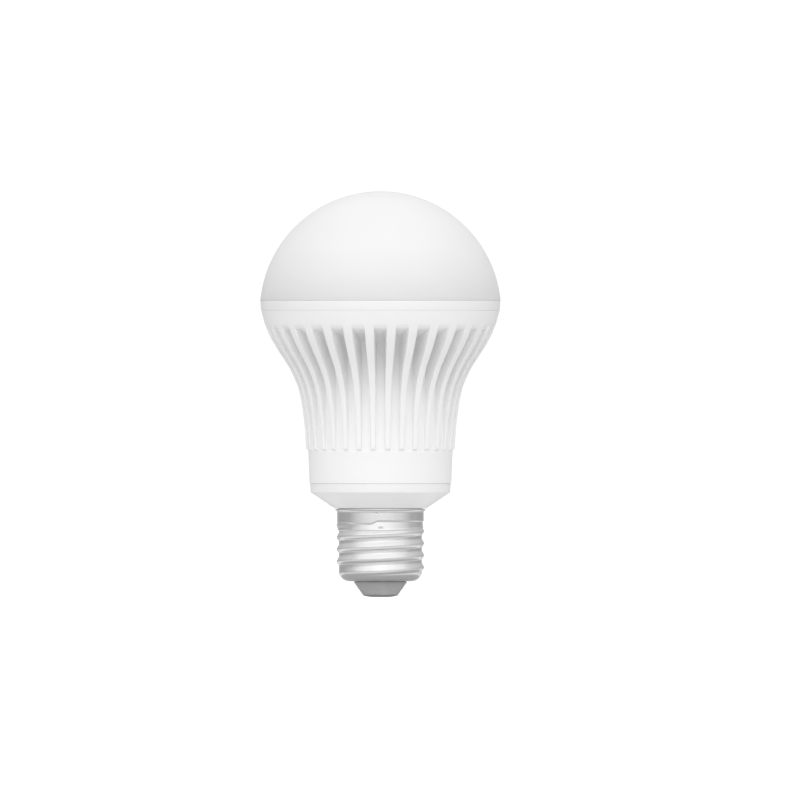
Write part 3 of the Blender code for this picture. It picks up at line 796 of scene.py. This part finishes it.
INNER = {
    "silicone": simple_look("silicone", (0.66, 0.66, 0.64), (0.76, 0.76, 0.74), (0.5, 0.65), scale=300.0),
    "board_white": simple_look("board_white", (0.78, 0.79, 0.78), (0.84, 0.85, 0.84), (0.35, 0.5), scale=700.0),
    "board_green": simple_look("board_green", (0.02, 0.14, 0.05), (0.04, 0.24, 0.10), (0.3, 0.45), scale=350.0),
    "led_phosphor": simple_look("led_phosphor", (0.74, 0.55, 0.10), (0.86, 0.70, 0.18), (0.4, 0.6), scale=1500.0),
    "thermal_pad": simple_look("thermal_pad", (0.36, 0.39, 0.44), (0.46, 0.49, 0.54), (0.7, 0.85), scale=900.0),
    "screw_steel": simple_look("screw_steel", (0.50, 0.50, 0.50), (0.62, 0.62, 0.61), (0.25, 0.4), 1.0, 900.0),
    "cream_plastic": simple_look("cream_plastic", (0.74, 0.70, 0.60), (0.82, 0.78, 0.68), (0.35, 0.5)),
    "sleeve_plastic": simple_look("sleeve_plastic", (0.64, 0.64, 0.62), (0.74, 0.74, 0.72), (0.5, 0.6)),
    "ferrite": simple_look("ferrite", (0.035, 0.035, 0.04), (0.07, 0.07, 0.075), (0.55, 0.75), scale=1800.0, bump=0.3),
    "winding_tape": simple_look("winding_tape", (0.68, 0.48, 0.06), (0.80, 0.62, 0.12), (0.3, 0.45), scale=400.0),
    "capacitor_sleeve": simple_look("capacitor_sleeve", (0.015, 0.02, 0.06), (0.03, 0.04, 0.11), (0.2, 0.35)),
    "film_box": simple_look("film_box", (0.52, 0.24, 0.04), (0.64, 0.34, 0.08), (0.3, 0.4)),
    "black_epoxy": simple_look("black_epoxy", (0.015, 0.015, 0.015), (0.035, 0.035, 0.035), (0.4, 0.6), scale=2000.0),
    "resistor_body": simple_look("resistor_body", (0.12, 0.25, 0.21), (0.18, 0.34, 0.29), (0.4, 0.6)),
    "tin_plate": simple_look("tin_plate", (0.56, 0.56, 0.54), (0.68, 0.68, 0.66), (0.25, 0.4), 1.0, 1200.0),
    "copper": simple_look("copper", (0.62, 0.28, 0.14), (0.78, 0.40, 0.22), (0.25, 0.4), 1.0, 1200.0),
    "wire_red": simple_look("wire_red", (0.45, 0.02, 0.02), (0.60, 0.04, 0.04), (0.4, 0.5)),
    "wire_black": simple_look("wire_black", (0.02, 0.02, 0.02), (0.045, 0.045, 0.045), (0.4, 0.5)),
    "wire_white": simple_look("wire_white", (0.74, 0.74, 0.72), (0.82, 0.82, 0.80), (0.4, 0.5)),
}
REPLACED = {
    "globe_diffuser", "diffuser_ring", "heat_sink", "base_housing", "screw_shell", "base_insulator", "centre_contact",
}
for part in frame["record"]["subparts"]:
    name, slot = part["node"], part["material_slot"]
    if name in REPLACED:
        continue
    node = frame["nodes"][name]
    node.data.materials.clear()
    node.data.materials.append(INNER[slot])

# ================================================================ floor, light and camera
floor = loft("floor", [circle(0.0, 0.0, 96), circle(350.0, 0.0, 96), circle(350.0, -0.5, 96), circle(0.0, -0.5, 96)])
floor.location.z = -0.00002
# the floor's own glow, which lights the object, by the distance from a point 8 mm behind the object's axis, in tenths
# of a metre: a painted shadow, dim near the axis where the bulb shades the floor, and a painted pool of light in a
# ring round it
FLOOR_GLOW = ((0.0, grey(0.23)), (0.265, grey(0.23)), (0.295, grey(0.74)), (0.44, grey(0.64)), (0.70, grey(0.25)))
FLOOR = Look("floor_surface", 0.85)
FLOOR.colour(FLOOR.ramp(FLOOR.noise(12.0, 2.0), [(0.3, grey(0.34)), (0.7, grey(0.36))]))
FLOOR.set("Specular IOR Level", 0.1)
flat = FLOOR.nodes.new("ShaderNodeVectorMath")
flat.operation = "MULTIPLY_ADD"
flat.inputs[1].default_value = (10.0, 10.0, 0.0)
flat.inputs[2].default_value = (0.0, -0.08, 0.0)
FLOOR.links.new(FLOOR.where, flat.inputs[0])
away = FLOOR.nodes.new("ShaderNodeVectorMath")
away.operation = "LENGTH"
FLOOR.links.new(flat.outputs["Vector"], away.inputs[0])
# painted light and shadow: the glow pattern is the floor's emission for light that reaches the object
FLOOR.links.new(FLOOR.ramp(away.outputs["Value"], FLOOR_GLOW), FLOOR.shader.inputs["Emission Color"])
FLOOR.set("Emission Strength", 1.0)
sheet = FLOOR.nodes.new("ShaderNodeBsdfPrincipled")
sheet.inputs["Base Color"].default_value = (0.5, 0.5, 0.5, 1.0)
sheet.inputs["Roughness"].default_value = 0.9
sheet.inputs["Emission Color"].default_value = (1.0, 1.0, 1.0, 1.0)
sheet.inputs["Emission Strength"].default_value = 0.72
either = FLOOR.nodes.new("ShaderNodeMixShader")
FLOOR.links.new(FLOOR.nodes.new("ShaderNodeLightPath").outputs["Is Camera Ray"], either.inputs["Fac"])
FLOOR.links.new(FLOOR.shader.outputs["BSDF"], either.inputs[1])
FLOOR.links.new(sheet.outputs["BSDF"], either.inputs[2])
FLOOR.links.new(either.outputs["Shader"], FLOOR.nodes["Material Output"].inputs["Surface"])
floor.data.materials.append(FLOOR.material)


# the room: (direction, how tight the glow is, strength), with the heights between which it fades in where
# it starts above the horizon. None is the even light from all round.
ROOM = (
    (None, 0, 0.293),
    ((0.0, -1.0, 0.0), 1, 0.955),
    ((0.0, 0.0, 1.0), 2, 0.730),
    ((-1.0, 0.0, 0.0), 4, 0.232),
    ((1.0, 0.0, 0.0), 4, 0.248),
    ((-0.61, -0.61, 0.50), 10, 0.120),
    ((0.61, -0.61, 0.50), 10, 0.088),
    ((-0.68, -0.18, 0.71), 14, 0.207),
    ((0.68, -0.18, 0.71), 14, 0.160),
    ((0.0, -1.0, 0.0), 0.5, 0.070, 0.02, 0.16),
    ((0.0, -1.0, 0.0), 6, 0.400, 0.02, 0.16),
    ((-1.0, 0.0, 0.0), 2, 0.220, 0.02, 0.16),
    ((1.0, 0.0, 0.0), 2, 0.240, 0.02, 0.16),
    ((0.0, 1.0, 0.0), 1, 0.120),
    ((0.0, 0.70, 0.70), 3, 0.360),
)


def make_world():
    """Large soft lights as glows in an even room, and plain white where the camera looks past the object."""
    world = bpy.data.worlds.new("studio")
    bpy.context.scene.world = world
    world.use_nodes = True
    nodes, links = world.node_tree.nodes, world.node_tree.links
    nodes.clear()

    def value(operation, a, b=None):
        node = nodes.new("ShaderNodeMath")
        node.operation = operation
        for socket, given in zip(node.inputs, (a, b)):
            if given is None:
                continue
            if isinstance(given, (int, float)):
                socket.default_value = given
            else:
                links.new(given, socket)
        return node.outputs["Value"]

    where = nodes.new("ShaderNodeTexCoord").outputs["Generated"]
    level = None
    height = nodes.new("ShaderNodeSeparateXYZ")
    links.new(where, height.inputs["Vector"])
    for direction, power, strength, *rise in ROOM:
        if direction is None:
            part = value("ADD", strength, 0.0)
        else:
            dot = nodes.new("ShaderNodeVectorMath")
            dot.operation = "DOT_PRODUCT"
            links.new(where, dot.inputs[0])
            dot.inputs[1].default_value = Vector(direction).normalized()
            glow = value("POWER", value("MAXIMUM", dot.outputs["Value"], 0.0), power)
            part = value("MULTIPLY", glow, strength)
        if rise:
            above = nodes.new("ShaderNodeMapRange")
            above.interpolation_type = "SMOOTHSTEP"
            above.inputs["From Min"].default_value, above.inputs["From Max"].default_value = rise
            links.new(height.outputs["Z"], above.inputs["Value"])
            part = value("MULTIPLY", part, above.outputs["Result"])
        level = part if level is None else value("ADD", level, part)
    room = nodes.new("ShaderNodeBackground")
    room.inputs["Color"].default_value = (1.0, 1.0, 1.0, 1.0)
    links.new(level, room.inputs["Strength"])
    white = nodes.new("ShaderNodeBackground")
    white.inputs["Color"].default_value = (1.0, 1.0, 1.0, 1.0)
    white.inputs["Strength"].default_value = 1.05
    mix = nodes.new("ShaderNodeMixShader")
    links.new(nodes.new("ShaderNodeLightPath").outputs["Is Camera Ray"], mix.inputs["Fac"])
    links.new(room.outputs["Background"], mix.inputs[1])
    links.new(white.outputs["Background"], mix.inputs[2])
    out = nodes.new("ShaderNodeOutputWorld")
    links.new(mix.outputs["Shader"], out.inputs["Surface"])


make_world()

camera_data = bpy.data.cameras.new("camera")
camera = bpy.data.objects.new("camera", camera_data)
bpy.context.scene.collection.objects.link(camera)
camera_data.sensor_width = 36.0
camera_data.lens = 1347.0
camera_data.clip_end = 100.0
camera.location = (0.00589, -9.0, 0.05921)
camera.rotation_euler = (math.pi / 2, 0.0, 0.0)
bpy.context.scene.camera = camera
bpy.context.scene.view_settings.view_transform = "Standard"
